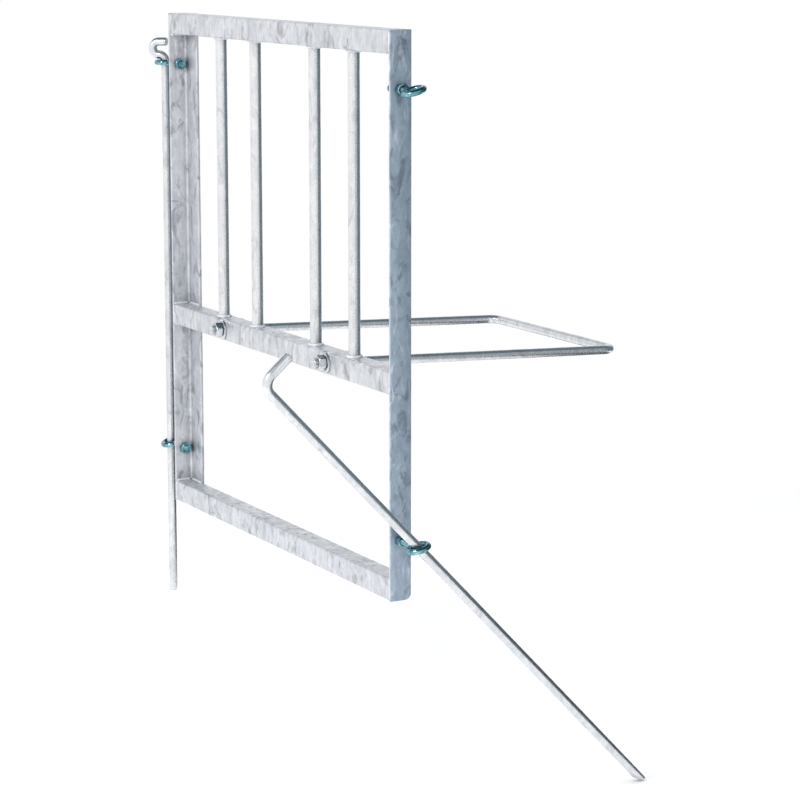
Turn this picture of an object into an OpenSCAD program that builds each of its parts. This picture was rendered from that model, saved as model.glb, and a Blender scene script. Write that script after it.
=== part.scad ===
// Galvanised feeding front for a small-livestock pen: angle-iron stiles, square-tube rails, upright
// bars with a wide head gap, a holder hoop behind the middle rail, and bent linking rods in eyebolts.
// Millimetres, +Z up. Origin at the centre of the bottom rail's underside; the front faces -Y.

/* [Panel] */
// Overall width over the two stiles
panel_w = 870; // [760:5:1000]
// Overall height of the stiles
panel_h = 915; // [860:5:1000]
// Front-to-back depth of the stiles and rails
panel_d = 38; // [36:1:42]
// Width of each stile's back leg
back_leg_w = 51; // [44:1:56]
// Thickness of the angle iron
angle_t = 5; // [4:1:6]
// Root radius inside the angle iron
root_r = 5; // [3:1:6]
// Radius of the lower back corner of each stile
foot_r = 12; // [6:1:16]

/* [Rails] */
// Height of each rail
rail_h = 38; // [34:1:42]
// Wall of the square tube
rail_t = 3; // [2:0.5:4]
// Outer corner radius of the square tube
rail_r = 4; // [3.5:0.5:6]
// Height of the middle rail's underside above the panel's foot
middle_z = 338; // [300:1:380]

/* [Bars] */
// Diameter of the upright bars
bar_d = 20; // [16:1:22]
// Distance of each inner bar from the middle of the row of bars
bar_inner = 115.5; // [100:0.5:130]
// Distance of each outer bar from the middle of the row of bars
bar_outer = 258; // [240:1:270]
// Sideways offset of the row of bars from the panel's middle
bar_shift = 16; // [-20:1:20]

/* [Hoop] */
// Diameter of the hoop's rod
hoop_d = 16; // [14:1:16]
// Half the distance between the hoop's two arms
hoop_half = 207; // [180:1:230]
// Sideways offset of the hoop from the panel's middle
hoop_shift = -2; // [-10:1:10]
// Distance from the panel's front to the middle of the hoop's crossbar
hoop_reach = 570; // [450:5:650]
// Bend radius of the hoop on its centre line
hoop_bend = 22; // [18:1:40]
// Sag of the hoop towards its crossbar, in degrees below level
hoop_sag = 2.1; // [0:0.1:2.5]
// Thread standing out of each front nut
hoop_end = 7; // [3:1:12]
// Nut size across flats
hoop_nut_af = 24; // [22:1:27]
// Nut height
hoop_nut_h = 13; // [10:1:15]
// Washer diameter
washer_d = 36; // [30:1:37]
// Washer thickness
washer_t = 3; // [2:0.5:4]

/* [Eyebolts] */
// Height of the lower eyes above the panel's foot
eye_low = 100; // [80:1:110]
// Distance of the upper eyes below the panel's top
eye_drop = 93; // [80:1:110]
// Mean radius of an eye, measured to the middle of its wire
eye_r = 15.5; // [15.2:0.1:17]
// Wire diameter of an eye
eye_wire = 10; // [8:0.5:10.4]
// Shank diameter
shank_d = 12; // [10:0.5:12.5]
// Distance from a stile's outer face to the middle of its eye
eye_reach = 60; // [50:1:70]
// The same for the upper right eye, which is screwed further in
eye_reach_free = 43; // [40:1:50]
// Distance from the middle of an eye to the end of its thread
eye_length = 79; // [79:1:90]
// Turn of the lower and upper right eyes about their shanks
eye_tilt_right = 17; // [0:1:18]
// Turn of the upper left eye about its shank
eye_tilt_left_top = 0; // [0:1:18]
// Turn of the lower left eye about its shank
eye_tilt_left_bottom = 18; // [0:1:18]
// Nut size across flats
eye_nut_af = 19; // [17:1:22]
// Nut height
eye_nut_h = 10; // [8:1:11]

/* [Linking rods] */
// Diameter of the linking rods
rod_d = 16; // [14:0.5:16]
// Length of the chisel cut at a rod's point
rod_point = 18; // [8:1:30]
// Length of the left rod from its curl to its point
left_length = 1028; // [950:1:1100]
// Height of the left rod's curl above the upper left eye
left_rest = 14; // [14:1:40]
// Bend radius of the left rod's curled top on its centre line
curl_r = 12; // [12:1:16]
// Straight end of the curl
curl_end = 16; // [8:1:24]
// Direction of the curl about the rod
curl_turn = 230; // [0:5:355]
// Length of the right rod from its bend to its point
right_length = 1045; // [950:1:1150]
// Length of the right rod's hooked top
rod_leg = 62; // [50:1:80]
// Bend radius of the right rod on its centre line
rod_bend = 22; // [16:1:30]
// Length of the right rod above the lower right eye
right_upper = 402; // [300:1:600]
// Lean of the right rod towards the front
right_lean = 44.1; // [20:0.1:46]
// Sideways lean of the right rod
right_side_lean = 2.2; // [-3:0.1:3]
// Direction of the right rod's hooked top about the rod
right_leg_turn = 85; // [0:1:355]

/* [Welds] */
// Size of the weld beads
bead = 4; // [2:0.5:5]

/* [Hidden] */
$fn = 72;
half_w = panel_w / 2;
half_d = panel_d / 2;
rail_l = panel_w - 2 * angle_t;
middle_c = middle_z + rail_h / 2;
bar_z0 = middle_z + rail_h;
bar_z1 = panel_h - rail_h;
high_z = panel_h - eye_drop;
nut_seat = 0.6;
hoop_y = hoop_reach - half_d;
hoop_y0 = -half_d - washer_t - nut_seat - hoop_nut_h - hoop_end;
hoop_arms = [hoop_shift - hoop_half, hoop_shift + hoop_half];
hoop_hole = hoop_d + 2;
bolt_gap = 0.1;
shank_hole = shank_d + 1;
neck_l = 9;
bars_x = [bar_shift - bar_outer, bar_shift - bar_inner, bar_shift + bar_inner, bar_shift + bar_outer];
over = 1;
zinc = [0.72, 0.74, 0.76];
zinc_dark = [0.55, 0.58, 0.61];
bright = [0.80, 0.84, 0.86];

// ---- shapes shared by several sub-parts ----

// A rectangle with rounded corners, centred.
module round_rect(w, h, r) {
    square([w - 2 * r, h], center = true);
    square([w, h - 2 * r], center = true);
    for (x = [-1, 1], y = [-1, 1])
        translate([x * (w / 2 - r), y * (h / 2 - r)])
            circle(r);
}

// A quarter disc in the first quadrant: the section of a weld bead.
module bead_section() {
    intersection() {
        circle(bead);
        square(bead);
    }
}

// Section of the left stile: side leg outboard, back leg behind, rounded root.
module stile_section() {
    difference() {
        union() {
            translate([-half_w, -half_d])
                square([angle_t, panel_d]);
            translate([-half_w, half_d - angle_t])
                square([back_leg_w, angle_t]);
            translate([-half_w + angle_t, half_d - angle_t - root_r])
                square(root_r);
        }
        translate([-half_w + angle_t + root_r, half_d - angle_t - root_r])
            circle(root_r);
    }
}

// The left stile without its holes; the lower back corner is rounded.
module stile_blank() {
    difference() {
        linear_extrude(panel_h)
            stile_section();
        translate([-half_w - over, half_d - foot_r, 0])
            rotate([90, 0, 90])
                linear_extrude(back_leg_w + 2 * over)
                    difference() {
                        translate([0, -over])
                            square([foot_r + over, foot_r + over]);
                        translate([0, foot_r])
                            circle(foot_r);
                    }
    }
}

// A stile with its two eyebolt holes.
module stile() {
    difference() {
        stile_blank();
        for (z = [eye_low, high_z])
            translate([-half_w - over, 0, z])
                rotate([0, 90, 0])
                    cylinder(d = shank_hole, h = angle_t + 2 * over);
    }
}

// A square tube between the side legs, cut back at its ends for the stiles' back legs.
module rail(z) {
    difference() {
        translate([-rail_l / 2, 0, z + rail_h / 2])
            rotate([90, 0, 90])
                linear_extrude(rail_l)
                    difference() {
                        round_rect(panel_d, rail_h, rail_r);
                        round_rect(panel_d - 2 * rail_t, rail_h - 2 * rail_t, rail_r - rail_t + 0.5);
                    }
        for (s = [0, 1])
            mirror([s, 0, 0])
                translate([0, 0, -over])
                    linear_extrude(panel_h + 2 * over)
                        stile_section();
    }
}

module bar(x) {
    translate([x, 0, bar_z0])
        cylinder(d = bar_d, h = bar_z1 - bar_z0);
}

// A bead in the corner between a rail's face and both legs of the left stile; up = 1 or -1.
module end_bead(z, up) {
    translate([0, 0, z])
        mirror([0, 0, up > 0 ? 0 : 1]) {
            translate([-half_w + angle_t, half_d - angle_t - root_r, 0])
                rotate([90, 0, 0])
                    linear_extrude(panel_d - angle_t - root_r - 1)
                        bead_section();
            translate([-half_w + back_leg_w - 1, half_d - angle_t, 0])
                rotate([90, 0, -90])
                    linear_extrude(back_leg_w - angle_t - root_r - 1)
                        bead_section();
        }
}

// A ring bead round a bar, on a face that looks up (up = 1) or down (up = -1).
module bar_bead(x, z, up) {
    translate([x, 0, z])
        mirror([0, 0, up > 0 ? 0 : 1])
            rotate_extrude()
                translate([bar_d / 2, 0])
                    bead_section();
}

// A chamfered hexagon nut standing on z = 0, with its bore.
module nut(af, h, bore) {
    edge = af / cos(30) / 2;
    cut = edge - af / 2;
    drop = cut * 0.6;
    difference() {
        intersection() {
            cylinder(r = edge, h = h, $fn = 6);
            rotate_extrude()
                polygon([[0, 0], [edge - cut, 0], [edge, drop], [edge, h - drop], [edge - cut, h], [0, h]]);
        }
        translate([0, 0, -over])
            cylinder(d = bore, h = h + 2 * over);
    }
}

// Places its children on the hoop's arms, looking to the front, from the given y.
module on_arms(y) {
    for (x = hoop_arms)
        translate([x, y, middle_c])
            rotate([90, 0, 0])
                children();
}

// Turns its children with the sagging hoop.
module sagged() {
    translate([0, 0, middle_c])
        rotate([-hoop_sag, 0, 0])
            translate([0, 0, -middle_c])
                children();
}

module washer() {
    difference() {
        cylinder(d = washer_d, h = washer_t);
        translate([0, 0, -over])
            cylinder(d = hoop_hole, h = washer_t + 2 * over);
    }
}

// Places its children at an eye: +X points out of the stile's outer face.
module at_eye(side, z) {
    translate([side * half_w, 0, z])
        mirror([side < 0 ? 1 : 0, 0, 0])
            children();
}

// An eyebolt with its shank along X and its eye turned about the shank.
module eyebolt(reach, tilt) {
    neck_x = reach - eye_r - neck_l;
    translate([reach, 0, 0])
        rotate([tilt, 0, 0])
            rotate_extrude()
                translate([eye_r, 0])
                    circle(d = eye_wire);
    translate([reach - eye_length, 0, 0])
        rotate([0, 90, 0])
            cylinder(d = shank_d, h = neck_x - reach + eye_length);
    translate([neck_x, 0, 0])
        rotate([0, 90, 0])
            cylinder(d1 = shank_d, d2 = eye_wire * 0.9, h = neck_l);
}

module eye_nut(x) {
    translate([x, 0, 0])
        rotate([0, 90, 0])
            nut(eye_nut_af, eye_nut_h, shank_d + 2 * bolt_gap);
}

// A round rod hanging straight down from z = -top to a chisel point at z = -length.
module rod_shank(top, length) {
    difference() {
        translate([0, 0, -top])
            mirror([0, 0, 1])
                cylinder(d = rod_d, h = length - top);
        translate([rod_d / 2 - 3, 0, -length])
            rotate([0, -atan((rod_d - 3) / rod_point), 0])
                translate([-rod_d * 2, -rod_d, -rod_d])
                    cube([rod_d * 2, rod_d * 2, rod_point * 3]);
    }
}

// The quarter bend from the shank below the origin to a leg along +X at z = 0.
module rod_corner(r) {
    translate([r, 0, -r])
        rotate([90, 0, 180])
            rotate_extrude(angle = 90)
                translate([r, 0])
                    circle(d = rod_d);
}

// A linking rod with a square hook along +X, its bend at the origin.
module hooked_rod() {
    rod_shank(rod_bend, right_length);
    rod_corner(rod_bend);
    translate([rod_bend, 0, 0])
        rotate([0, 90, 0])
            cylinder(d = rod_d, h = rod_leg - rod_bend);
}

// A linking rod whose top turns out along +X and curls back over itself; its chisel cut is a quarter turn round.
module curled_rod() {
    rotate([0, 0, 90])
        rod_shank(curl_r, left_length);
    rod_corner(curl_r);
    translate([curl_r, 0, curl_r])
        rotate([90, 0, 0])
            mirror([0, 0, 1])
                rotate([0, 0, -90])
                    rotate_extrude(angle = 180)
                        translate([curl_r, 0])
                            circle(d = rod_d);
    translate([curl_r - curl_end, 0, 2 * curl_r])
        rotate([0, 90, 0])
            cylinder(d = rod_d, h = curl_end);
}

// ---- sub-parts ----

module stile_left() {
    color(zinc) stile();
}

module stile_right() {
    color(zinc) mirror([1, 0, 0]) stile();
}

module top_rail() {
    color(zinc) rail(panel_h - rail_h);
}

// The middle rail has a through hole for each arm of the hoop.
module middle_rail() {
    color(zinc)
        difference() {
            rail(middle_z);
            on_arms(half_d + over)
                cylinder(d = hoop_hole, h = panel_d + 2 * over);
        }
}

module bottom_rail() {
    color(zinc) rail(0);
}

module rail_welds() {
    color(zinc_dark)
        for (s = [0, 1])
            mirror([s, 0, 0]) {
                end_bead(rail_h, 1);
                end_bead(middle_z, -1);
                end_bead(middle_z + rail_h, 1);
                end_bead(panel_h - rail_h, -1);
            }
}

module bar_welds() {
    color(zinc_dark)
        for (x = bars_x) {
            bar_bead(x, bar_z0, 1);
            bar_bead(x, bar_z1, -1);
        }
}

// One bent rod: two arms through the middle rail, two bends and the crossbar.
module holder_hoop() {
    color(zinc) sagged() {
        for (x = hoop_arms)
            translate([x, hoop_y - hoop_bend, middle_c])
                rotate([90, 0, 0])
                    cylinder(d = hoop_d, h = hoop_y - hoop_bend - hoop_y0);
        translate([hoop_arms[0] + hoop_bend, hoop_y, middle_c])
            rotate([0, 90, 0])
                cylinder(d = hoop_d, h = 2 * (hoop_half - hoop_bend));
        for (s = [0, 1])
            translate([hoop_shift, 0, 0])
                mirror([s, 0, 0])
                    translate([hoop_half - hoop_bend, hoop_y - hoop_bend, middle_c])
                        rotate_extrude(angle = 90)
                            translate([hoop_bend, 0])
                                circle(d = hoop_d);
    }
}

module hoop_washers() {
    color(bright) {
        on_arms(-half_d) washer();
        on_arms(half_d + washer_t) washer();
    }
}

// The nuts stand square to the sagging rod, so each bears on one edge.
module hoop_front_nuts() {
    color(bright)
        sagged()
            on_arms(-half_d - washer_t - nut_seat)
                nut(hoop_nut_af, hoop_nut_h, hoop_d + 2 * bolt_gap);
}

module hoop_rear_nuts() {
    color(bright)
        sagged()
            on_arms(half_d + washer_t + nut_seat + hoop_nut_h)
                nut(hoop_nut_af, hoop_nut_h, hoop_d + 2 * bolt_gap);
}

module eyebolt_left_top() {
    color(bright) at_eye(-1, high_z) eyebolt(eye_reach, eye_tilt_left_top);
}

module eyebolt_left_bottom() {
    color(bright) at_eye(-1, eye_low) eyebolt(eye_reach, eye_tilt_left_bottom);
}

module eyebolt_right_top() {
    color(bright) at_eye(1, high_z) eyebolt(eye_reach_free, eye_tilt_right);
}

module eyebolt_right_bottom() {
    color(bright) at_eye(1, eye_low) eyebolt(eye_reach, eye_tilt_right);
}

module eyebolt_outer_nuts() {
    color(bright)
        for (side = [-1, 1], z = [eye_low, high_z])
            at_eye(side, z) eye_nut(0);
}

module eyebolt_inner_nuts() {
    color(bright)
        for (side = [-1, 1], z = [eye_low, high_z])
            at_eye(side, z) eye_nut(-angle_t - eye_nut_h);
}

module link_rod_left() {
    color(zinc)
        translate([-half_w - eye_reach, 0, high_z + left_rest])
            rotate([0, 0, curl_turn])
                curled_rod();
}

module link_rod_right() {
    color(zinc)
        translate([half_w + eye_reach, 0, eye_low])
            rotate([right_lean, 0, 0])
                rotate([0, right_side_lean, 0])
                    translate([0, 0, right_upper])
                        rotate([0, 0, right_leg_turn])
                            hooked_rod();
}

stile_left();
stile_right();
top_rail();
middle_rail();
bottom_rail();
color(zinc) bar(bars_x[0]);  // bar_outer_left
color(zinc) bar(bars_x[1]);  // bar_inner_left
color(zinc) bar(bars_x[2]);  // bar_inner_right
color(zinc) bar(bars_x[3]);  // bar_outer_right
rail_welds();
bar_welds();
holder_hoop();
hoop_washers();
hoop_front_nuts();
hoop_rear_nuts();
eyebolt_left_top();
eyebolt_left_bottom();
eyebolt_right_top();
eyebolt_right_bottom();
eyebolt_outer_nuts();
eyebolt_inner_nuts();
link_rod_left();
link_rod_right();
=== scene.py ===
import math

import bmesh
import bpy
from mathutils import Matrix, Vector, noise


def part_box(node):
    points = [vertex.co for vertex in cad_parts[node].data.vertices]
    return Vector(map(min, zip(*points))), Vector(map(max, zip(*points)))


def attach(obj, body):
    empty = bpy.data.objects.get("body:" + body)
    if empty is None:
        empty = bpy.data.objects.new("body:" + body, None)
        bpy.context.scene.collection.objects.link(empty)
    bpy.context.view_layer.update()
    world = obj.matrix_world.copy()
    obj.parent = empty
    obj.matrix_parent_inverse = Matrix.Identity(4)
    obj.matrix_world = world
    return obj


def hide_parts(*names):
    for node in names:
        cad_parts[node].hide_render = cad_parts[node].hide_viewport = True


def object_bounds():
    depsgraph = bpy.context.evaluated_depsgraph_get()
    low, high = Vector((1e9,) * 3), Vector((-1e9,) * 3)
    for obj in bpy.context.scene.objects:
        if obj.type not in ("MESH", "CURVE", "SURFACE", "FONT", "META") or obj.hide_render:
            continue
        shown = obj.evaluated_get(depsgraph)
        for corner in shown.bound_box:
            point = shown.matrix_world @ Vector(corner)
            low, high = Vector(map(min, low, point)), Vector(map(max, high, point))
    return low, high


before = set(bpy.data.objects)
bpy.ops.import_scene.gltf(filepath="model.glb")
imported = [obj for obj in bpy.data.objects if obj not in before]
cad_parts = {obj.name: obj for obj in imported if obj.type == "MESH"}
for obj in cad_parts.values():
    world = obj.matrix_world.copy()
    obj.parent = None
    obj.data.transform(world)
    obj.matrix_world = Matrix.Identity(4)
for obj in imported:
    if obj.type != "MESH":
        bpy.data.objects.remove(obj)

# noise_vector takes its offsets from the clock unless it is seeded.
NOISE_SEED = 7
noise.seed_set(NOISE_SEED)

CAD_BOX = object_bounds()
MM = 0.001

# ---------------------------------------------------------------- sizes, in mm, as in the CAD
STILE_LO, STILE_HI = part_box("stile_left")
HALF_W = -STILE_LO.x / MM
HALF_D = -STILE_LO.y / MM
PANEL_H = STILE_HI.z / MM
BACK_LEG_W = (STILE_HI.x - STILE_LO.x) / MM
ANGLE_T = 5.0
ROOT_R = 5.0
FOOT_R = 12.0
RAIL_H = 38.0
RAIL_R = 4.0
BAR_D = 20.0
MIDDLE_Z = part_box("middle_rail")[0].z / MM
MIDDLE_C = MIDDLE_Z + RAIL_H / 2
BAR_Z0 = MIDDLE_Z + RAIL_H
BAR_Z1 = PANEL_H - RAIL_H
EYE_LOW_Z = 100.0
EYE_HIGH_Z = PANEL_H - 93.0
EYE_R = 15.5
EYE_WIRE = 10.0
SHANK_D = 12.0
SHANK_PITCH = 1.75
EYE_REACH = 60.0
EYE_REACH_FREE = 43.0
EYE_LENGTH = 79.0
NECK_L = 9.0
EYE_NUT_AF = 19.0
EYE_NUT_H = 10.0
HOOP_D = 16.0
HOOP_PITCH = 2.0
HOOP_HALF = 207.0
HOOP_SHIFT = -2.0
HOOP_Y = 551.0
HOOP_BEND = 22.0
HOOP_END = 7.0
HOOP_SAG = 2.1
NUT_SEAT = 0.6
HOOP_NUT_AF = 24.0
HOOP_NUT_H = 13.0
WASHER_D = 36.0
WASHER_T = 3.0
ROD_D = 16.0
ROD_POINT = 18.0
LEFT_LENGTH = 1028.0
LEFT_REST = 14.0
CURL_R = 12.0
CURL_END = 16.0
CURL_TURN = 230.0
RIGHT_LENGTH = 1045.0
ROD_LEG = 62.0
ROD_BEND = 22.0
RIGHT_UPPER = 402.0
RIGHT_LEAN = 44.1
RIGHT_SIDE_LEAN = 2.2
RIGHT_LEG_TURN = 85.0

# Lengths of a mesh face along a bar or rail, and along a weld bead.
MESH_STEP = 9.0
BEAD_STEP = 0.8
# How far a zinc skin stands back, so that its unevenness stays inside the CAD shape.
COAT_GAP = 0.15
ROUND_GAP = 0.1
WIRE_GAP = 0.05


# ---------------------------------------------------------------- mesh building
def piece(name, verts, faces, material, body, slot, nodes=(), sharp=32.0):
    """A mesh object from points in mm; it rides on a body and may stand for CAD nodes."""
    mesh = bpy.data.meshes.new(name)
    mesh.from_pydata([tuple(float(c) * MM for c in v) for v in verts], [], faces)
    mesh.validate()
    bm = bmesh.new()
    bm.from_mesh(mesh)
    bmesh.ops.recalc_face_normals(bm, faces=bm.faces)
    bm.to_mesh(mesh)
    bm.free()
    for face in mesh.polygons:
        face.use_smooth = True
    mesh.set_sharp_from_angle(angle=math.radians(sharp))
    obj = bpy.data.objects.new(name, mesh)
    bpy.context.scene.collection.objects.link(obj)
    mesh.materials.append(material)
    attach(obj, body)
    if nodes:
        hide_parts(*nodes)
    return obj


def loft(rings, closed=False):
    """Quads through rings of equal length; open lofts are capped."""
    count = len(rings[0])
    verts = [p for ring in rings for p in ring]
    faces = []
    steps = len(rings) if closed else len(rings) - 1
    for i in range(steps):
        a = i * count
        b = ((i + 1) % len(rings)) * count
        for k in range(count):
            n = (k + 1) % count
            faces.append((a + k, a + n, b + n, b + k))
    if not closed:
        faces.append(tuple(range(count)))
        faces.append(tuple((len(rings) - 1) * count + k for k in range(count)))
    return verts, faces


def join(parts):
    """Several (verts, faces) pairs as one."""
    verts = []
    faces = []
    for part_verts, part_faces in parts:
        start = len(verts)
        verts.extend(part_verts)
        faces.extend(tuple(i + start for i in face) for face in part_faces)
    return verts, faces


def moved(part, matrix):
    """A (verts, faces) pair turned and moved by a matrix."""
    verts, faces = part
    return [tuple(matrix @ Vector(v)) for v in verts], faces


def rounded_loop(corners, steps=5):
    """A closed loop from (x, y, radius) corners, each rounded by an arc."""
    loop = []
    total = len(corners)
    for i, (x, y, radius) in enumerate(corners):
        here = Vector((x, y))
        before = (Vector(corners[i - 1][:2]) - here).normalized()
        after = (Vector(corners[(i + 1) % total][:2]) - here).normalized()
        half = before.angle(after) / 2
        start = here + before * (radius / math.tan(half))
        centre = here + (before + after).normalized() * (radius / math.sin(half))
        first = start - centre
        swing = math.pi - 2 * half
        if before.cross(after) > 0:
            swing = -swing
        for k in range(steps + 1):
            turn = Matrix.Rotation(swing * k / steps, 2)
            loop.append(tuple(centre + turn @ first))
    return loop


def inset(loop, depth):
    """The loop moved inwards by depth, for an end chamfer."""
    points = [Vector(p) for p in loop]
    area = sum(a.cross(b) for a, b in zip(points, points[1:] + points[:1]))
    side = 1.0 if area > 0 else -1.0
    result = []
    for i, p in enumerate(points):
        along = points[(i + 1) % len(points)] - points[i - 1]
        if along.length < 1e-6:
            result.append(tuple(p))
            continue
        along.normalize()
        result.append(tuple(p + Vector((-along.y, along.x)) * side * depth))
    return result


def stations(low, high, step):
    """Even places from low to high, about step apart."""
    count = max(1, round((high - low) / step))
    return [low + (high - low) * i / count for i in range(count + 1)]


def extruded(loop, low, high, place, step=MESH_STEP, chamfer=0.6):
    """A loop carried along an axis with chamfered ends; place(u, v, w) gives the point."""
    ends = [(low, inset(loop, chamfer)), (low + chamfer, loop)]
    middle = [(w, loop) for w in stations(low + chamfer, high - chamfer, step)[1:-1]]
    ends_high = [(high - chamfer, loop), (high, inset(loop, chamfer))]
    return loft([[place(u, v, w) for u, v in ring] for w, ring in ends + middle + ends_high])


def cut(part, point, normal):
    """Keeps the side of a plane that the normal points away from, and closes the cut."""
    bm = bmesh.new()
    made = [bm.verts.new(v) for v in part[0]]
    for face in part[1]:
        bm.faces.new([made[i] for i in face])
    result = bmesh.ops.bisect_plane(
        bm,
        geom=bm.verts[:] + bm.edges[:] + bm.faces[:],
        plane_co=Vector(point),
        plane_no=Vector(normal),
        clear_outer=True,
    )
    edges = [g for g in result["geom_cut"] if isinstance(g, bmesh.types.BMEdge)]
    if edges:
        bmesh.ops.holes_fill(bm, edges=edges, sides=0)
    bm.verts.index_update()
    verts = [tuple(v.co) for v in bm.verts]
    faces = [tuple(v.index for v in face.verts) for face in bm.faces]
    bm.free()
    return verts, faces


def uneven(part, depth, size, seed):
    """Moves points by smooth noise, as a dipped zinc coat is never quite even."""
    verts = []
    for v in part[0]:
        at = Vector(v) / size + Vector((seed, seed * 1.7, -seed))
        shift = noise.noise_vector(at) * depth
        verts.append((v[0] + shift.x, v[1] + shift.y, v[2] + shift.z))
    return verts, part[1]


def frames_along(path):
    """Tangent and two cross directions at each point of a path, without twist."""
    points = [Vector(p) for p in path]
    tangents = []
    for i in range(len(points)):
        a = points[max(i - 1, 0)]
        b = points[min(i + 1, len(points) - 1)]
        tangents.append((b - a).normalized())
    side = tangents[0].orthogonal().normalized()
    result = []
    for tangent in tangents:
        side = (side - tangent * side.dot(tangent)).normalized()
        result.append((tangent, side, tangent.cross(side)))
    return result


def swept(path, radius, around=40):
    """A round bar along a path; radius(i, angle) in mm."""
    rings = []
    for i, (p, (_, side, up)) in enumerate(zip(path, frames_along(path))):
        ring = []
        for k in range(around):
            angle = 2 * math.pi * k / around
            r = radius(i, angle)
            ring.append(tuple(Vector(p) + side * (r * math.cos(angle)) + up * (r * math.sin(angle))))
        rings.append(ring)
    return loft(rings)


def turned(profile, around=64):
    """A closed ring of revolution about Z from a closed (r, z) profile."""
    rings = []
    for k in range(around):
        angle = 2 * math.pi * k / around
        rings.append([(r * math.cos(angle), r * math.sin(angle), z) for r, z in profile])
    return loft(rings, closed=True)


def threaded(diameter, pitch, low, high, around=40, fine=8):
    """A threaded bar along Z: a helical groove cut into a cylinder, with a chamfered tip at low."""
    depth = pitch * 0.55
    rings = []
    for z in stations(low, high, pitch / fine):
        ring = []
        for k in range(around):
            part = k / around
            wave = abs(((z / pitch - part) % 1.0) * 2 - 1)
            groove = min(1.0, max(0.0, wave * 1.5 - 0.25))
            tip = max(0.0, 1.4 - (z - low))
            r = diameter / 2 - WIRE_GAP - depth * groove - tip * 0.7
            angle = 2 * math.pi * part
            ring.append((r * math.cos(angle), r * math.sin(angle), z))
        rings.append(ring)
    return loft(rings)


def nut(flats, height, bore, around=96):
    """A hexagon nut on Z = 0 with 30-degree chamfers and a countersunk bore."""
    flat = flats / 2
    face = flat * 0.965
    rings = []
    for k in range(around):
        angle = 2 * math.pi * k / around
        within = (angle % (math.pi / 3)) - math.pi / 6
        edge = min(flat / math.cos(within), flat / math.cos(math.pi / 6) - 0.35)
        drop = (edge - face) * math.tan(math.radians(30))
        mouth = bore / 2 + 0.9
        profile = [
            (bore / 2, 0.9),
            (mouth, 0.0),
            (face, 0.0),
            (edge - 0.25, max(drop - 0.15, 0.02)),
            (edge, drop + 0.2),
            (edge, height - drop - 0.2),
            (edge - 0.25, height - max(drop - 0.15, 0.02)),
            (face, height),
            (mouth, height),
            (bore / 2, height - 0.9),
        ]
        rings.append([(r * math.cos(angle), r * math.sin(angle), z) for r, z in profile])
    return loft(rings, closed=True)


def washer(diameter, bore, thickness):
    """A flat washer on Z = 0, one edge rounded by the punch."""
    outer = diameter / 2
    inner = bore / 2
    profile = [
        (inner, 0.3),
        (inner + 0.3, 0.0),
        (outer - 0.3, 0.0),
        (outer, 0.3),
        (outer, thickness - 0.8),
        (outer - 0.25, thickness - 0.25),
        (outer - 0.8, thickness),
        (inner + 0.3, thickness),
        (inner, thickness - 0.3),
    ]
    return turned(profile)


def weld(path, size, seed, flat=0.8):
    """A rippled bead laid along a path in an inside corner."""
    pitch = 2.6
    length = 0.0
    lengths = [0.0]
    for a, b in zip(path, path[1:]):
        length += (Vector(b) - Vector(a)).length
        lengths.append(length)

    def radius(i, angle):
        run = lengths[i]
        ripple = 0.11 * abs(math.sin(math.pi * run / pitch))
        wander = 0.16 * noise.noise(Vector((run * 0.11, seed, angle * 0.4)))
        fine = 0.05 * noise.noise(Vector((run * 0.9, seed + 4.0, angle * 1.7)))
        taper = min(1.0, 0.45 + run / 5.0, 0.45 + (length - run) / 5.0)
        return size * taper * (flat + ripple + wander + fine)

    return swept(path, radius, around=18)


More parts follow.
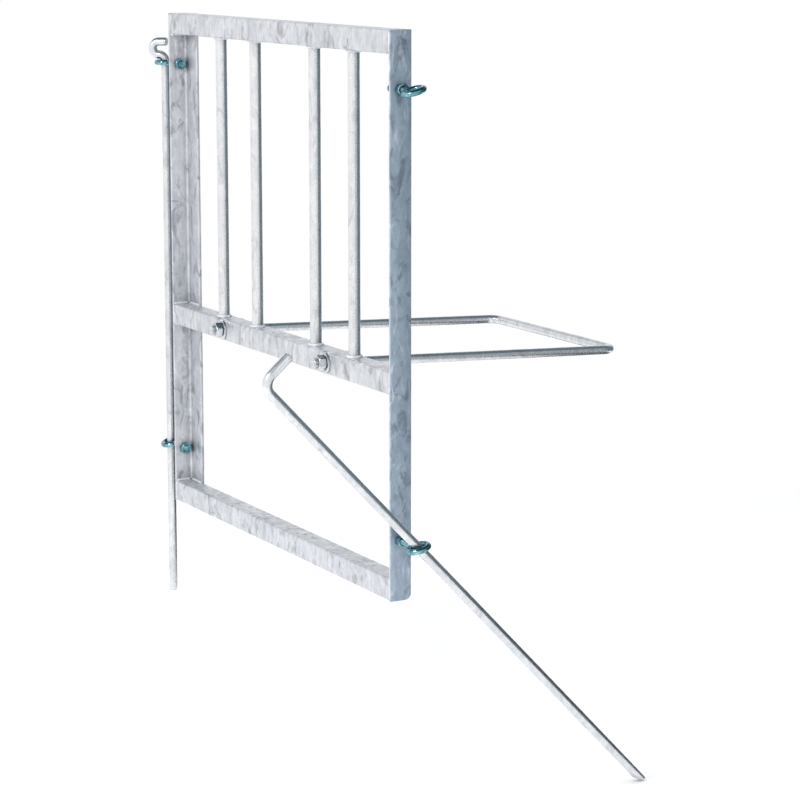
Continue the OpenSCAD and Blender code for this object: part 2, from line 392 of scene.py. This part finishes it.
# ---------------------------------------------------------------- materials
class Nodes:
    """A small helper round a material's node tree."""

    def __init__(self, name):
        self.material = bpy.data.materials.new(name)
        self.material.use_nodes = True
        self.tree = self.material.node_tree
        self.shader = self.tree.nodes["Principled BSDF"]
        self.coords = self.tree.nodes.new("ShaderNodeTexCoord").outputs["Object"]

    def add(self, kind, links=(), **values):
        node = self.tree.nodes.new(kind)
        for key, value in values.items():
            if key in node.inputs:
                node.inputs[key].default_value = value
            else:
                setattr(node, key, value)
        for key, source in dict(links).items():
            self.tree.links.new(source, node.inputs[key])
        return node

    def scaled(self, x, y, z):
        node = self.add("ShaderNodeMapping", {"Vector": self.coords})
        node.inputs["Scale"].default_value = (x, y, z)
        return node.outputs["Vector"]

    def noise(self, vector, scale, detail=3.0, rough=0.5, warp=0.0):
        node = self.add("ShaderNodeTexNoise", {"Vector": vector}, Scale=scale, Detail=detail)
        node.inputs["Roughness"].default_value = rough
        node.inputs["Distortion"].default_value = warp
        return node.outputs["Fac"]

    def ramp(self, value, low, high, to_low=0.0, to_high=1.0):
        node = self.add("ShaderNodeMapRange", {"Value": value})
        node.inputs["From Min"].default_value = low
        node.inputs["From Max"].default_value = high
        node.inputs["To Min"].default_value = to_low
        node.inputs["To Max"].default_value = to_high
        return node.outputs["Result"]

    def math(self, kind, a, b):
        node = self.add("ShaderNodeMath", operation=kind)
        for slot, value in enumerate((a, b)):
            if isinstance(value, (int, float)):
                node.inputs[slot].default_value = value
            else:
                self.tree.links.new(value, node.inputs[slot])
        return node.outputs["Value"]

    def mix(self, factor, a, b):
        node = self.add("ShaderNodeMix", data_type="RGBA")
        if isinstance(factor, (int, float)):
            node.inputs["Factor"].default_value = factor
        else:
            self.tree.links.new(factor, node.inputs["Factor"])
        for socket, value in ((node.inputs[6], a), (node.inputs[7], b)):
            if isinstance(value, tuple):
                socket.default_value = (*value, 1.0)
            else:
                self.tree.links.new(value, socket)
        return node.outputs[2]

    def bump(self, height, strength, distance, under=None):
        node = self.add("ShaderNodeBump", {"Height": height}, Strength=strength, Distance=distance)
        if under is not None:
            self.tree.links.new(under, node.inputs["Normal"])
        return node.outputs["Normal"]

    # Ambient occlusion, used to paint shade where nearby parts hem a surface in.
    def corner_shade(self, distance):
        node = self.add("ShaderNodeAmbientOcclusion", samples=6)
        node.inputs["Distance"].default_value = distance
        return node.outputs["AO"]

    def set(self, name, value):
        socket = self.shader.inputs[name]
        if isinstance(value, (int, float)):
            socket.default_value = value
        else:
            self.tree.links.new(value, socket)


# The painted shade's share of red, green and blue on a face turned from the light, and how far dark
# patches go towards black.
FACE_SHADE = (0.62, 0.74, 0.84)
DEEPEN = 0.42


def times(colour, factor):
    """A colour made lighter or darker."""
    return tuple(c * factor for c in colour)


def galvanised(name, light, dark, metallic, rough, spangle, mottle, relief, shaded_face_x=None):
    """Hot-dip zinc: crystal spangle, oval runs and blotches, painted shade in the corners and an
    orange-peel surface.

    A face at the given x is painted darker and bluer: painted shade, as that face is turned from the
    light.
    """
    n = Nodes(name)
    base = n.scaled(1, 1, 1)
    wander = n.noise(base, scale=70.0, detail=2.0)
    warp = n.add("ShaderNodeVectorMath", {0: base}, operation="ADD")
    spread = n.add("ShaderNodeVectorMath", operation="SCALE")
    n.tree.links.new(wander, spread.inputs[0])
    spread.inputs["Scale"].default_value = 0.006
    n.tree.links.new(spread.outputs["Vector"], warp.inputs[1])
    cells = n.add("ShaderNodeTexVoronoi", {"Vector": warp.outputs["Vector"]}, Scale=spangle)
    small = n.add("ShaderNodeTexVoronoi", {"Vector": warp.outputs["Vector"]}, Scale=spangle * 2.7)
    grey = n.add("ShaderNodeSeparateColor", {"Color": cells.outputs["Color"]}).outputs["Red"]
    grey_small = n.add("ShaderNodeSeparateColor", {"Color": small.outputs["Color"]}).outputs["Green"]
    crystals = n.math("ADD", n.math("MULTIPLY", grey, 0.6), n.math("MULTIPLY", grey_small, 0.4))
    cloud_noise = n.noise(base, scale=17.0, detail=4.0, rough=0.6, warp=0.6)
    clouds = n.ramp(cloud_noise, 0.35, 0.66)
    oval_noise = n.noise(n.scaled(1, 1, 0.42), scale=62.0, detail=3.0, rough=0.55, warp=0.9)
    ovals = n.ramp(oval_noise, 0.36, 0.64)
    run_noise = n.noise(n.scaled(1, 1, 0.14), scale=80.0, detail=3.0, rough=0.55)
    runs = n.ramp(run_noise, 0.35, 0.68)
    tone = n.math("ADD", n.math("MULTIPLY", crystals, 0.26), n.math("MULTIPLY", clouds, 0.22))
    tone = n.math("ADD", tone, n.math("MULTIPLY", runs, 0.16))
    tone = n.math("ADD", tone, n.math("MULTIPLY", ovals, 0.36))
    low, high = dark, light
    # Painted shade: the face at this x turns darker and bluer, standing in for the light it misses.
    if shaded_face_x is not None:
        across = n.add("ShaderNodeSeparateXYZ", {"Vector": n.coords}).outputs["X"]
        face = n.ramp(across, shaded_face_x - 1.2 * MM, shaded_face_x - 0.4 * MM)
        low = n.mix(face, dark, tuple(c * k for c, k in zip(dark, FACE_SHADE)))
        high = n.mix(face, light, tuple(c * k for c, k in zip(light, FACE_SHADE)))
    colour = n.mix(tone, low, high)
    patch_noise = n.noise(n.scaled(1, 1, 0.5), scale=40.0, detail=4.0, rough=0.6, warp=1.4)
    patches = n.ramp(patch_noise, 0.54, 0.66, 0.0, mottle)
    colour = n.mix(patches, colour, n.mix(DEEPEN, low, (0.0, 0.0, 0.0)))
    bloom_noise = n.noise(n.scaled(1, 1, 0.5), scale=47.0, detail=4.0, rough=0.65, warp=1.2)
    bloom = n.ramp(bloom_noise, 0.58, 0.74, 0.0, 0.7)
    colour = n.mix(bloom, colour, tuple(min(0.97, c * 1.12) for c in light))
    # Painted shade: darker in corners and under rails, where nearby parts keep the light off.
    corners = n.ramp(n.corner_shade(22 * MM), 0.25, 0.85, 0.72, 0.0)
    colour = n.mix(corners, colour, times(dark, 0.42))
    specks = n.ramp(n.noise(base, scale=420.0, detail=2.0, rough=0.6), 0.68, 0.75, 0.0, 0.4)
    colour = n.mix(specks, colour, times(dark, 0.62))
    n.set("Base Color", colour)
    n.set("Metallic", metallic)
    n.set("Roughness", n.ramp(tone, 0.0, 1.0, rough + 0.10, rough - 0.08))
    peel = n.noise(base, scale=260.0, detail=3.0, rough=0.55)
    waves = n.noise(base, scale=55.0, detail=2.0, rough=0.5)
    normal = n.bump(waves, 0.25 * relief, 1.2 * MM)
    normal = n.bump(ovals, 0.30 * relief, 0.6 * MM, normal)
    normal = n.bump(crystals, 0.12 * relief, 0.3 * MM, normal)
    n.set("Normal", n.bump(peel, 0.30 * relief, 0.3 * MM, normal))
    return n.material


def bead_metal(name, light, dark):
    """A zinc-coated weld: paler and rougher than the plates."""
    n = Nodes(name)
    base = n.scaled(1, 1, 1)
    tone = n.ramp(n.noise(base, 160.0, 5.0, 0.65), 0.3, 0.7)
    colour = n.mix(tone, dark, light)
    # Painted shade: the weld darkens where the plates close in on it.
    corners = n.ramp(n.corner_shade(0.006), 0.3, 0.9, 0.5, 0.0)
    n.set("Base Color", n.mix(corners, colour, times(dark, 0.5)))
    n.set("Metallic", 0.45)
    n.set("Roughness", n.ramp(tone, 0.0, 1.0, 0.62, 0.45))
    n.set("Normal", n.bump(n.noise(base, 700.0, 4.0, 0.6), 0.5, 0.0005))
    return n.material


def bright_zinc(name, light, dark, rough):
    """Shiny zinc plate, with painted shade darkening its corners."""
    n = Nodes(name)
    base = n.scaled(1, 1, 1)
    tone = n.ramp(n.noise(base, 110.0, 4.0, 0.6), 0.3, 0.72)
    colour = n.mix(tone, dark, light)
    # Painted shade in the corners: darker where nearby parts keep the light off.
    corners = n.ramp(n.corner_shade(0.005), 0.25, 0.9, 0.75, 0.0)
    colour = n.mix(corners, colour, times(dark, 0.14))
    n.set("Base Color", colour)
    n.set("Metallic", 1.0)
    n.set("Roughness", n.ramp(n.noise(base, 300.0, 4.0, 0.6), 0.3, 0.7, rough, rough + 0.14))
    n.set("Normal", n.bump(n.noise(base, 520.0, 3.0, 0.5), 0.12, 0.0003))
    return n.material


PLATE_COAT = dict(
    light=(0.79, 0.80, 0.83),
    dark=(0.44, 0.46, 0.50),
    metallic=0.74,
    rough=0.38,
    spangle=150.0,
    mottle=0.70,
    relief=1.0,
)
ROUND_COAT = dict(metallic=0.92, rough=0.26, spangle=190.0, mottle=0.35, relief=0.18)
PLATE = galvanised("galvanised_plate", **PLATE_COAT)
# A copy of the plate coat whose stile face at +x carries painted shade, darker and bluer.
PLATE_SHADED_FACE = galvanised("galvanised_plate_painted_shade", shaded_face_x=HALF_W * MM, **PLATE_COAT)
ROUND = galvanised("galvanised_round", (0.90, 0.905, 0.915), (0.62, 0.64, 0.67), **ROUND_COAT)
ROD = galvanised("galvanised_rod", (0.84, 0.85, 0.865), (0.58, 0.60, 0.63), **ROUND_COAT)
WELD = bead_metal("galvanised_weld", (0.92, 0.93, 0.94), (0.62, 0.64, 0.67))
ZINC = bright_zinc("bright_zinc_plate", (0.34, 0.62, 0.68), (0.03, 0.15, 0.19), 0.10)
HARDWARE = bright_zinc("galvanised_hardware", (0.84, 0.86, 0.88), (0.52, 0.55, 0.58), 0.24)


# ---------------------------------------------------------------- stiles
def stile_part(side):
    """The angle iron of one stile, its lower back corner rounded off."""
    outer = -HALF_W
    loop = rounded_loop([
        (outer, -HALF_D, 1.0),
        (outer + ANGLE_T, -HALF_D, 1.2),
        (outer + ANGLE_T, HALF_D - ANGLE_T, ROOT_R),
        (outer + BACK_LEG_W, HALF_D - ANGLE_T, 1.6),
        (outer + BACK_LEG_W, HALF_D, 0.8),
        (outer, HALF_D, 0.9),
    ])
    part = extruded(loop, 0.0, PANEL_H - COAT_GAP, lambda u, v, w: (u, v, w), chamfer=0.5)
    centre = Vector((0, HALF_D - FOOT_R, FOOT_R))
    for k in range(1, 10):
        angle = math.radians(90 * k / 10)
        normal = Vector((0, math.cos(angle), -math.sin(angle)))
        part = cut(part, centre + normal * FOOT_R, normal)
    part = uneven(part, depth=0.12, size=22.0, seed=3.0 + side)
    if side > 0:
        part = ([(-x, y, z) for x, y, z in part[0]], part[1])
    return part


piece("stile_left_look", *stile_part(-1), PLATE, "panel", "galvanised", ["stile_left"])
# The right stile's outer face is painted darker and bluer as painted shade.
piece("stile_right_look", *stile_part(1), PLATE_SHADED_FACE, "panel", "galvanised", ["stile_right"])


# ---------------------------------------------------------------- rails
def rail_part(low, seed):
    """A square tube between the side legs; its back is cut away where the back legs pass."""
    half = RAIL_H / 2
    skin = half - COAT_GAP
    loop = rounded_loop([
        (-HALF_D, -skin, RAIL_R),
        (HALF_D, -skin, RAIL_R),
        (HALF_D, skin, RAIL_R),
        (-HALF_D, skin, RAIL_R),
    ])
    reach = HALF_W - ANGLE_T
    leg = HALF_W - BACK_LEG_W - 0.2
    back = HALF_D - ANGLE_T - 0.1
    places = [(-reach, back), (-leg, back)]
    places += [(x, HALF_D) for x in stations(-leg, leg, MESH_STEP)]
    places += [(leg, back), (reach, back)]
    rings = []
    for x, limit in places:
        rings.append([(x, min(v, limit), w + low + half) for v, w in loop])
    return uneven(loft(rings), depth=0.12, size=24.0, seed=seed)


RAILS = (("bottom_rail", 0.0), ("middle_rail", MIDDLE_Z), ("top_rail", PANEL_H - RAIL_H))
for rail_name, rail_low in RAILS:
    part = rail_part(rail_low, rail_low * 0.013 + 7.0)
    piece(rail_name + "_look", *part, PLATE, "panel", "galvanised", [rail_name])

# ---------------------------------------------------------------- upright bars
BARS = {}
for bar_name in ("bar_outer_left", "bar_inner_left", "bar_inner_right", "bar_outer_right"):
    bar_lo, bar_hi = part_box(bar_name)
    BARS[bar_name] = (bar_lo.x + bar_hi.x) / 2 / MM
for bar_name, bar_x in BARS.items():
    path = [(bar_x, 0.0, z) for z in stations(BAR_Z0 - 0.5, BAR_Z1 + 0.5, MESH_STEP)]
    bar = swept(path, lambda i, a: BAR_D / 2 - ROUND_GAP)
    part = uneven(bar, depth=0.16, size=16.0, seed=bar_x * 0.01)
    piece(bar_name + "_look", *part, ROUND, "panel", "galvanised", [bar_name])

# ---------------------------------------------------------------- welds
BEAD = 4.2
bar_beads = []
for number, bar_x in enumerate(BARS.values()):
    for foot, up in ((BAR_Z0, 1.0), (BAR_Z1, -1.0)):
        path = []
        for k in range(61):
            angle = math.radians(6.3 * k + 40 * number)
            r = BAR_D / 2 + 0.2
            path.append((bar_x + r * math.cos(angle), r * math.sin(angle), foot + up * 0.3))
        bar_beads.append(weld(path, BEAD, number * 3.1 + up, 0.74))
piece("bar_beads", *join(bar_beads), WELD, "panel", "weld_metal", ["bar_welds"], sharp=180.0)

rail_beads = []
for side in (-1, 1):
    inner = side * (HALF_W - ANGLE_T)
    toe = side * (HALF_W - BACK_LEG_W)
    for number, (height, up) in enumerate((
        (RAIL_H, 1.0),
        (MIDDLE_Z, -1.0),
        (MIDDLE_Z + RAIL_H, 1.0),
        (PANEL_H - RAIL_H, -1.0),
    )):
        z = height + up * 0.2
        seed = 5.0 * number + side
        along_y = [(inner, y, z) for y in stations(-HALF_D + 2.0, HALF_D - ANGLE_T - 3.0, BEAD_STEP)]
        across = stations(inner - side * 3.0, toe + side * 2.0, BEAD_STEP)
        along_x = [(x, HALF_D - ANGLE_T, z) for x in across]
        rail_beads.append(weld(along_y, BEAD, seed, 0.70))
        rail_beads.append(weld(along_x, BEAD * 0.85, seed + 2.0, 0.70))
    for number, low in enumerate((0.0, MIDDLE_Z, PANEL_H - RAIL_H)):
        seam = [(inner, -HALF_D + 0.9, z) for z in stations(low + 3.0, low + RAIL_H - 3.0, BEAD_STEP)]
        rail_beads.append(weld(seam, 2.0, 20.0 + number + side, 0.62))
piece("rail_beads", *join(rail_beads), WELD, "panel", "weld_metal", ["rail_welds"], sharp=180.0)

# ---------------------------------------------------------------- hoop
SAG = Matrix.Translation((0, 0, MIDDLE_C)) @ Matrix.Rotation(math.radians(-HOOP_SAG), 4, "X")
SAG = SAG @ Matrix.Translation((0, 0, -MIDDLE_C))
HOOP_FRONT = -HALF_D - WASHER_T - NUT_SEAT - HOOP_NUT_H - HOOP_END
THREAD_END = HALF_D + WASHER_T + HOOP_NUT_H + 18.0
ARMS = (HOOP_SHIFT - HOOP_HALF, HOOP_SHIFT + HOOP_HALF)


def hoop_corner(centre_x, start, steps=12):
    """Points of a level quarter bend of the hoop, turning clockwise from an angle in degrees."""
    points = []
    for k in range(1, steps + 1):
        angle = math.radians(start - 90 * k / steps)
        x = centre_x + HOOP_BEND * math.cos(angle)
        y = HOOP_Y - HOOP_BEND + HOOP_BEND * math.sin(angle)
        points.append((x, y, MIDDLE_C))
    return points


arm_places = stations(THREAD_END - 2.0, HOOP_Y - HOOP_BEND, MESH_STEP)
cross = stations(ARMS[0] + HOOP_BEND, ARMS[1] - HOOP_BEND, MESH_STEP)[1:]
hoop_path = [(ARMS[0], y, MIDDLE_C) for y in arm_places]
hoop_path += hoop_corner(ARMS[0] + HOOP_BEND, 180)
hoop_path += [(x, HOOP_Y, MIDDLE_C) for x in cross]
hoop_path += hoop_corner(ARMS[1] - HOOP_BEND, 90)
hoop_path += [(ARMS[1], y, MIDDLE_C) for y in arm_places[-2::-1]]
hoop = uneven(swept(hoop_path, lambda i, a: HOOP_D / 2 - ROUND_GAP), depth=0.12, size=18.0, seed=2.2)
parts = [hoop]
for arm in ARMS:
    to_arm = Matrix.Translation((arm, 0, MIDDLE_C)) @ Matrix.Rotation(math.radians(-90), 4, "X")
    parts.append(moved(threaded(HOOP_D, HOOP_PITCH, HOOP_FRONT, THREAD_END), to_arm))
piece("hoop_look", *moved(join(parts), SAG), ROD, "panel", "galvanised_rod", ["holder_hoop"])


def at_arms(part, y, front, turns):
    """Copies of a part standing on the middle rail's front or back, on both arms."""
    made = []
    for arm, turn in zip(ARMS, turns):
        tilt = Matrix.Rotation(math.radians(90 if front else -90), 4, "X")
        spin = Matrix.Rotation(math.radians(turn), 4, "Z")
        made.append(moved(part, Matrix.Translation((arm, y, MIDDLE_C)) @ tilt @ spin))
    return join(made)


disc = washer(WASHER_D, HOOP_D + 2.0, WASHER_T)
discs = join([at_arms(disc, -HALF_D, True, (0, 0)), at_arms(disc, HALF_D, False, (0, 0))])
piece("hoop_washers_look", *discs, HARDWARE, "panel", "galvanised_hardware", ["hoop_washers"])
big_nut = nut(HOOP_NUT_AF, HOOP_NUT_H, HOOP_D + 0.2)
front_nuts = moved(at_arms(big_nut, -HALF_D - WASHER_T - NUT_SEAT, True, (12, 40)), SAG)
piece("hoop_front_nuts_look", *front_nuts, HARDWARE, "panel", "galvanised_hardware", ["hoop_front_nuts"])
rear_nuts = moved(at_arms(big_nut, HALF_D + WASHER_T + NUT_SEAT, False, (25, 5)), SAG)
piece("hoop_rear_nuts_look", *rear_nuts, HARDWARE, "panel", "galvanised_hardware", ["hoop_rear_nuts"])


# ---------------------------------------------------------------- eyebolts
def eyebolt(reach, tilt):
    """Threaded shank along X from the stile's outer face, a flared neck and a round eye."""
    neck = reach - EYE_R - NECK_L
    wire = EYE_WIRE / 2 - WIRE_GAP
    circle = [
        (EYE_R + wire * math.cos(math.radians(12 * k)), wire * math.sin(math.radians(12 * k)))
        for k in range(30)
    ]
    turn = Matrix.Translation((reach, 0, 0)) @ Matrix.Rotation(math.radians(tilt), 4, "X")
    ring = moved(turned(circle, 72), turn)
    along = Matrix.Rotation(math.radians(90), 4, "Y")
    shank = moved(threaded(SHANK_D, SHANK_PITCH, reach - EYE_LENGTH, neck - 3.0), along)
    rings = []
    for k in range(15):
        part = k / 14
        x = neck - 3.2 + part * (NECK_L + 5.2)
        r = SHANK_D / 2 - ROUND_GAP - 1.35 * math.sin(math.pi * min(1.0, part * 1.25)) ** 0.8
        r = r if part < 0.8 else min(SHANK_D / 2 - ROUND_GAP, EYE_WIRE / 2 - ROUND_GAP)
        ring_points = []
        for m in range(32):
            angle = 2 * math.pi * m / 32
            ring_points.append((x, r * math.cos(angle), r * math.sin(angle)))
        rings.append(ring_points)
    return join([ring, shank, loft(rings)])


EYES = (
    ("eyebolt_left_top", -1, EYE_HIGH_Z, EYE_REACH, 0.0),
    ("eyebolt_left_bottom", -1, EYE_LOW_Z, EYE_REACH, 18.0),
    ("eyebolt_right_top", 1, EYE_HIGH_Z, EYE_REACH_FREE, 17.0),
    ("eyebolt_right_bottom", 1, EYE_LOW_Z, EYE_REACH, 17.0),
)
small_nut = nut(EYE_NUT_AF, EYE_NUT_H, SHANK_D + 0.2)
outer_nuts = []
inner_nuts = []
for number, (eye_name, side, z, reach, tilt) in enumerate(EYES):
    place = Matrix.Translation((side * HALF_W, 0, z))
    if side < 0:
        place = place @ Matrix.Diagonal((-1, 1, 1, 1))
    bolt = moved(eyebolt(reach, tilt), place)
    piece(eye_name + "_look", *bolt, ZINC, "panel", "bright_zinc", [eye_name])
    along = Matrix.Rotation(math.radians(90), 4, "Y")
    spin = Matrix.Rotation(math.radians(17 * number + 8), 4, "Z")
    outer_nuts.append(moved(small_nut, place @ along @ spin))
    back = Matrix.Translation((-ANGLE_T - EYE_NUT_H, 0, 0))
    inner_nuts.append(moved(small_nut, place @ back @ along @ spin))
piece("eye_outer_nuts_look", *join(outer_nuts), ZINC, "panel", "bright_zinc", ["eyebolt_outer_nuts"])
piece("eye_inner_nuts_look", *join(inner_nuts), ZINC, "panel", "bright_zinc", ["eyebolt_inner_nuts"])


# ---------------------------------------------------------------- linking rods
def quarter(cx, cz, radius, start, stop, steps=14):
    """Points of an arc in the XZ plane, from one angle to another in degrees, without its first point."""
    points = []
    for k in range(1, steps + 1):
        angle = math.radians(start + (stop - start) * k / steps)
        points.append((cx + radius * math.cos(angle), 0.0, cz + radius * math.sin(angle)))
    return points


def rod_part(path, length, seed, cut_turn=0.0):
    """A round rod along a path, its free end chamfered and its foot at z = -length cut to a chisel.

    cut_turn turns the chisel's face about the rod, in degrees.
    """
    last = Vector(path[-1])
    toward = (last - Vector(path[-2])).normalized()
    tip = len(path) - 1
    path = path[:-1] + [tuple(last - toward * 1.4), tuple(last - toward * 0.3)]

    def radius(i, angle):
        return ROD_D / 2 - COAT_GAP - (1.3 if i > tip else 0.0)

    part = swept(path, radius, around=44)
    slope = math.atan((ROD_D - 3) / ROD_POINT)
    spin = Matrix.Rotation(math.radians(cut_turn), 4, "Z")
    normal = spin @ Vector((-math.cos(slope), 0, -math.sin(slope)))
    part = cut(part, tuple(spin @ Vector((ROD_D / 2 - 3, 0, -length))), tuple(normal))
    return uneven(part, depth=0.10, size=15.0, seed=seed)


curled = [(0.0, 0.0, z) for z in stations(-LEFT_LENGTH + 0.3, -CURL_R, MESH_STEP)]
curled += quarter(CURL_R, -CURL_R, CURL_R, 180, 90)
curled += quarter(CURL_R, CURL_R, CURL_R, -90, 90, 26)
curled += [(x, 0.0, 2 * CURL_R) for x in (CURL_R - CURL_END / 2, CURL_R - CURL_END)]
left_place = Matrix.Translation((-HALF_W - EYE_REACH, 0, EYE_HIGH_Z + LEFT_REST))
left_place = left_place @ Matrix.Rotation(math.radians(CURL_TURN), 4, "Z")
left_rod = moved(rod_part(curled, LEFT_LENGTH, 4.0, 90.0), left_place)
piece("link_rod_left_look", *left_rod, ROD, "rod_left", "galvanised_rod", ["link_rod_left"])
hooked = [(0.0, 0.0, z) for z in stations(-RIGHT_LENGTH + 0.3, -ROD_BEND, MESH_STEP)]
hooked += quarter(ROD_BEND, -ROD_BEND, ROD_BEND, 180, 90, 18)
hooked += [(x, 0.0, 0.0) for x in stations(ROD_BEND, ROD_LEG, 7.0)[1:]]
right_place = Matrix.Translation((HALF_W + EYE_REACH, 0, EYE_LOW_Z))
right_place = right_place @ Matrix.Rotation(math.radians(RIGHT_LEAN), 4, "X")
right_place = right_place @ Matrix.Rotation(math.radians(RIGHT_SIDE_LEAN), 4, "Y")
right_place = right_place @ Matrix.Translation((0, 0, RIGHT_UPPER))
right_place = right_place @ Matrix.Rotation(math.radians(RIGHT_LEG_TURN), 4, "Z")
right_rod = moved(rod_part(hooked, RIGHT_LENGTH, MESH_STEP), right_place)
piece("link_rod_right_look", *right_rod, ROD, "rod_right", "galvanised_rod", ["link_rod_right"])


# ---------------------------------------------------------------- stage, light and camera
def plain(name, colour, rough):
    """A plain material for the stage."""
    n = Nodes(name)
    tone = n.ramp(n.noise(n.scaled(1, 1, 1), 3.0, 3.0), 0.3, 0.7)
    n.set("Base Color", n.mix(tone, colour, times(colour, 0.985)))
    n.set("Roughness", rough)
    return n.material


def sheet(name, corners, material):
    mesh = bpy.data.meshes.new(name)
    mesh.from_pydata(corners, [], [tuple(range(len(corners)))])
    mesh.materials.append(material)
    obj = bpy.data.objects.new(name, mesh)
    bpy.context.scene.collection.objects.link(obj)
    return obj


FLOOR_Z = CAD_BOX[0].z - 0.004
FLOOR_R = 2.4
floor = plain("pale_floor", (0.96, 0.94, 0.935), 0.7)
rim = [math.radians(3.75 * k) for k in range(96)]
sheet("floor", [(FLOOR_R * math.cos(a), FLOOR_R * math.sin(a), FLOOR_Z) for a in rim], floor)


def area(name, place, aim, size, power):
    light = bpy.data.lights.new(name, "AREA")
    light.shape = "DISK"
    light.size = size
    light.energy = power
    obj = bpy.data.objects.new(name, light)
    bpy.context.scene.collection.objects.link(obj)
    obj.location = place
    obj.rotation_mode = "QUATERNION"
    obj.rotation_quaternion = (Vector(aim) - Vector(place)).to_track_quat("-Z", "Y")
    return obj


area("key", place=(1.2, -4.4, 3.0), aim=(0, 0, 0.4), size=1.0, power=95.0)
top = area("top", place=(0, 0, 6.0), aim=(0, 0, 0), size=14.0, power=690.0)
top.visible_glossy = False

# A dark card low behind the panel, seen only in reflections: it darkens the rods' far edges.
CARD_Y = 0.80
CARD_LEFT = -1.2
CARD_RIGHT = 1.1
CARD_TOP = 0.10
card = sheet("dark_card", [
    (CARD_LEFT, CARD_Y, FLOOR_Z),
    (CARD_RIGHT, CARD_Y, FLOOR_Z),
    (CARD_RIGHT, CARD_Y, CARD_TOP),
    (CARD_LEFT, CARD_Y, CARD_TOP),
], plain("dark_card", (0.02, 0.03, 0.035), 0.9))
card.visible_camera = False
card.visible_diffuse = False
card.visible_shadow = False
card.visible_transmission = False

# A studio that is white round about and below, dark overhead and dark behind to the right.
world = bpy.data.worlds.new("studio")
world.use_nodes = True
tree = world.node_tree
sky = tree.nodes["Background"]
toward = tree.nodes.new("ShaderNodeTexCoord").outputs["Generated"]


def fall(direction, low, high, keep):
    """A factor that falls from 1 to keep as the view turns towards a direction."""
    dot = tree.nodes.new("ShaderNodeVectorMath")
    dot.operation = "DOT_PRODUCT"
    tree.links.new(toward, dot.inputs[0])
    dot.inputs[1].default_value = Vector(direction).normalized()
    ramp = tree.nodes.new("ShaderNodeMapRange")
    ramp.interpolation_type = "SMOOTHSTEP"
    tree.links.new(dot.outputs["Value"], ramp.inputs["Value"])
    ramp.inputs["From Min"].default_value = low
    ramp.inputs["From Max"].default_value = high
    ramp.inputs["To Min"].default_value = 1.0
    ramp.inputs["To Max"].default_value = keep
    return ramp.outputs["Result"]


DARK_TONE = (0.05, 0.105, 0.14, 1.0)
WHITE_TONE = (1.0, 1.0, 1.0, 1.0)
DARK_SIDE = math.radians(75.0)
overhead = fall((0, 0, 1), low=0.38, high=0.78, keep=0.0)
behind = fall((math.cos(DARK_SIDE), math.sin(DARK_SIDE), 0.0), low=0.40, high=0.85, keep=0.08)
lit = tree.nodes.new("ShaderNodeMath")
lit.operation = "MULTIPLY"
tree.links.new(overhead, lit.inputs[0])
tree.links.new(behind, lit.inputs[1])
# The backdrop itself is seen white from every side; only light and reflections fall off.
backdrop = tree.nodes.new("ShaderNodeMath")
backdrop.operation = "MAXIMUM"
rays = tree.nodes.new("ShaderNodeLightPath")
tree.links.new(lit.outputs["Value"], backdrop.inputs[0])
tree.links.new(rays.outputs["Is Camera Ray"], backdrop.inputs[1])
blend = tree.nodes.new("ShaderNodeMix")
blend.data_type = "RGBA"
tree.links.new(backdrop.outputs["Value"], blend.inputs["Factor"])
blend.inputs[6].default_value = DARK_TONE
blend.inputs[7].default_value = WHITE_TONE
tree.links.new(blend.outputs[2], sky.inputs["Color"])
bpy.context.scene.world = world
bpy.context.scene.view_settings.view_transform = "Standard"

CAMERA_PLACE = (4.0756, -1.9531, 1.0789)
CAMERA_AZIMUTH = 61.806
CAMERA_ELEVATION = 10.279
CAMERA_ROLL = 0.008
LENS = 118.55
camera = bpy.data.cameras.new("camera")
camera.lens = LENS
camera.sensor_width = 36.0
camera.clip_end = 500.0
camera.dof.use_dof = False
viewer = bpy.data.objects.new("camera", camera)
bpy.context.scene.collection.objects.link(viewer)
spin = Matrix.Rotation(math.radians(CAMERA_AZIMUTH), 4, "Z")
lean = Matrix.Rotation(math.radians(90 - CAMERA_ELEVATION), 4, "X")
roll = Matrix.Rotation(math.radians(CAMERA_ROLL), 4, "Z")
viewer.matrix_world = Matrix.Translation(CAMERA_PLACE) @ spin @ lean @ roll
bpy.context.scene.camera = viewer
